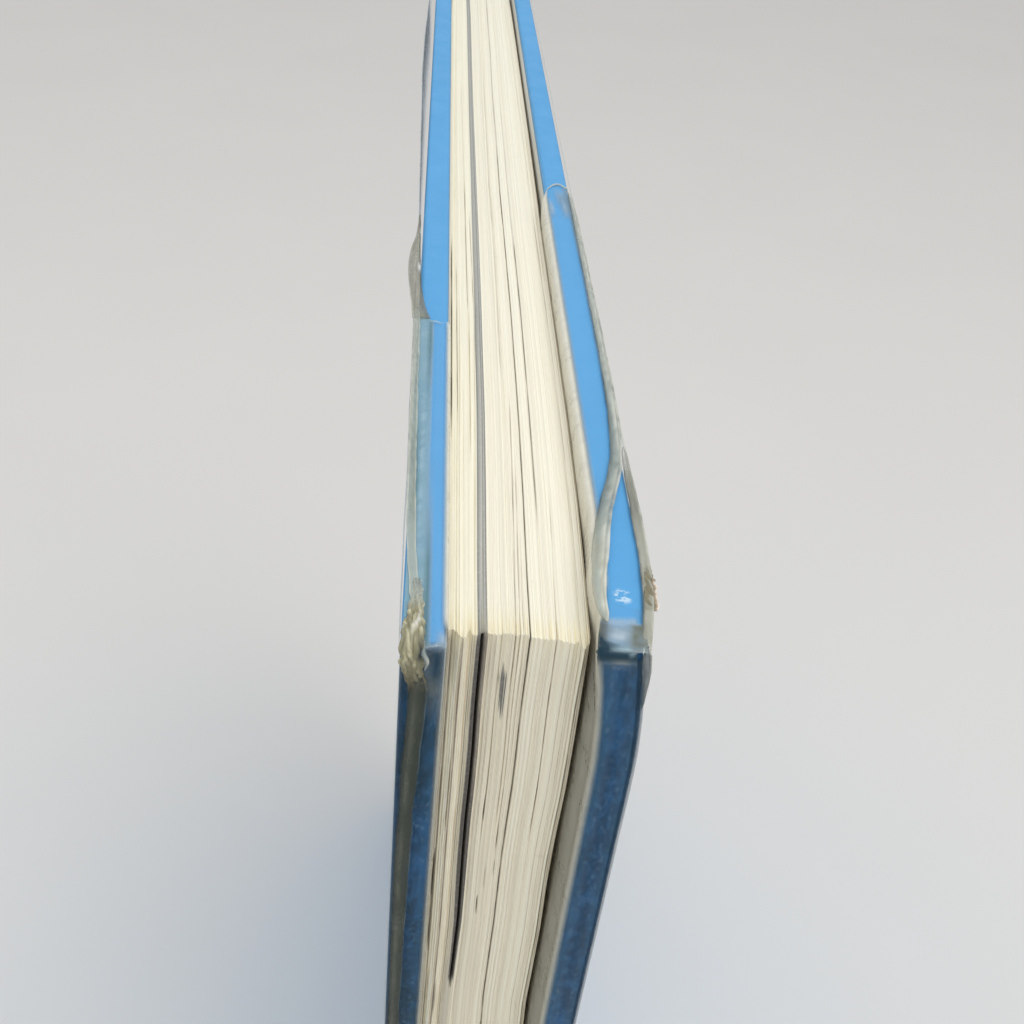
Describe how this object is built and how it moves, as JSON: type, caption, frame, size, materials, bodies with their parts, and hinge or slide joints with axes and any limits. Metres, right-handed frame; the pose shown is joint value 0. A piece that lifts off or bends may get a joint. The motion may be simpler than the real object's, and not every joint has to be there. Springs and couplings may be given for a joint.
{
  "type": "hardcover yearbook",
  "caption": "Large hardcover yearbook in light blue cloth with a yellowed clear slip-on vinyl jacket, standing on its tail; both covers open.",
  "frame": {"origin": "middle of the rectangle that the closed book stands on", "axes": "+Z from tail to head, +X from spine to fore-edge, +Y from front cover to back cover"},
  "size_m": [0.2362, 0.0222, 0.3119],
  "materials": {
    "leaf_paper": "cut edges of aged cream book paper",
    "endpaper": "smooth uncoated paper",
    "headband_cotton": "woven cotton",
    "mull_cotton": "open-weave cotton set in glue",
    "kraft_paper": "plain kraft paper",
    "card": "raw grey board",
    "case_cloth": "light blue coated book cloth with a fine grain",
    "clear_vinyl": "clear soft vinyl, yellowed with age"
  },
  "bodies": {
    "book_block": {"text_block": "leaf_paper", "front_flyleaf": "endpaper", "back_flyleaf": "endpaper", "head_band": "headband_cotton", "tail_band": "headband_cotton", "spine_mull": "mull_cotton", "spine_liner": "kraft_paper", "spine_inlay": "card", "spine_cloth": "case_cloth", "jacket_spine": "clear_vinyl"},
    "front_cover": {"front_board": "card", "front_cover_cloth": "case_cloth", "front_pastedown": "endpaper", "jacket_front": "clear_vinyl", "front_pocket_sheet": "clear_vinyl"},
    "back_cover": {"back_board": "card", "back_cover_cloth": "case_cloth", "back_pastedown": "endpaper", "jacket_back": "clear_vinyl", "back_pocket_sheet": "clear_vinyl"}
  },
  "joints": [
    {"name": "front_cover_hinge", "type": "hinge", "parent": "book_block", "child": "front_cover", "pos_m": [-0.1162, -0.00692, 0.156], "axis": [0, 0, -1], "range_deg": [0, 180]},
    {"name": "back_cover_hinge", "type": "hinge", "parent": "book_block", "child": "back_cover", "pos_m": [-0.1162, 0.00692, 0.156], "axis": [0, 0, 1], "range_deg": [0, 180]}
  ]
}
